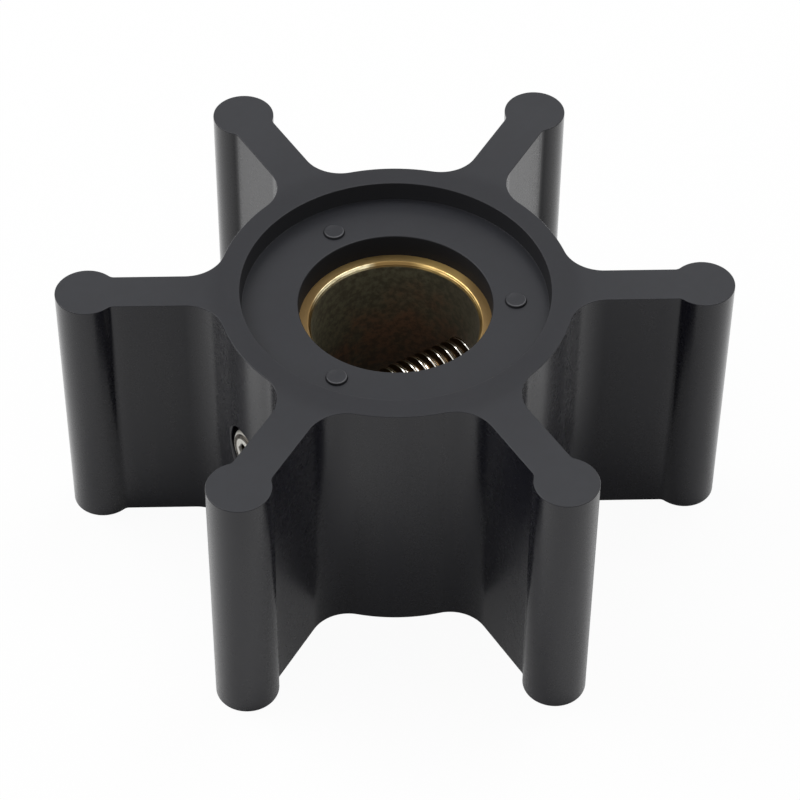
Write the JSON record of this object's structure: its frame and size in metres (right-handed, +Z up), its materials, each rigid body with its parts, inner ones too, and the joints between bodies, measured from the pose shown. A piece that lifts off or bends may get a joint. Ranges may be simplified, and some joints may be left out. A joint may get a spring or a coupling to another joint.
{
  "type": "pump impeller",
  "caption": "Flexible rubber pump impeller: straight vanes with round sealing bulbs on a recessed hub, a bonded brass bush in the bore and a steel drive screw across it.",
  "frame": {"origin": "on the bore axis, in the plane of the lower end face, which the impeller stands on", "axes": "+Z up the bore, +X along the drive screw away from its socket end, +Y along a vane"},
  "size_m": [0.0446, 0.0508, 0.0222],
  "materials": {
    "black_rubber": "matte as moulded, a little glossier down the vane sides",
    "brass": "turned end face, brown patina in the bore",
    "screw_steel": "bright"
  },
  "bodies": {
    "root": {"impeller_rubber": "black_rubber", "brass_bush": "brass", "drive_screw": "screw_steel"}
  },
  "joints": []
}
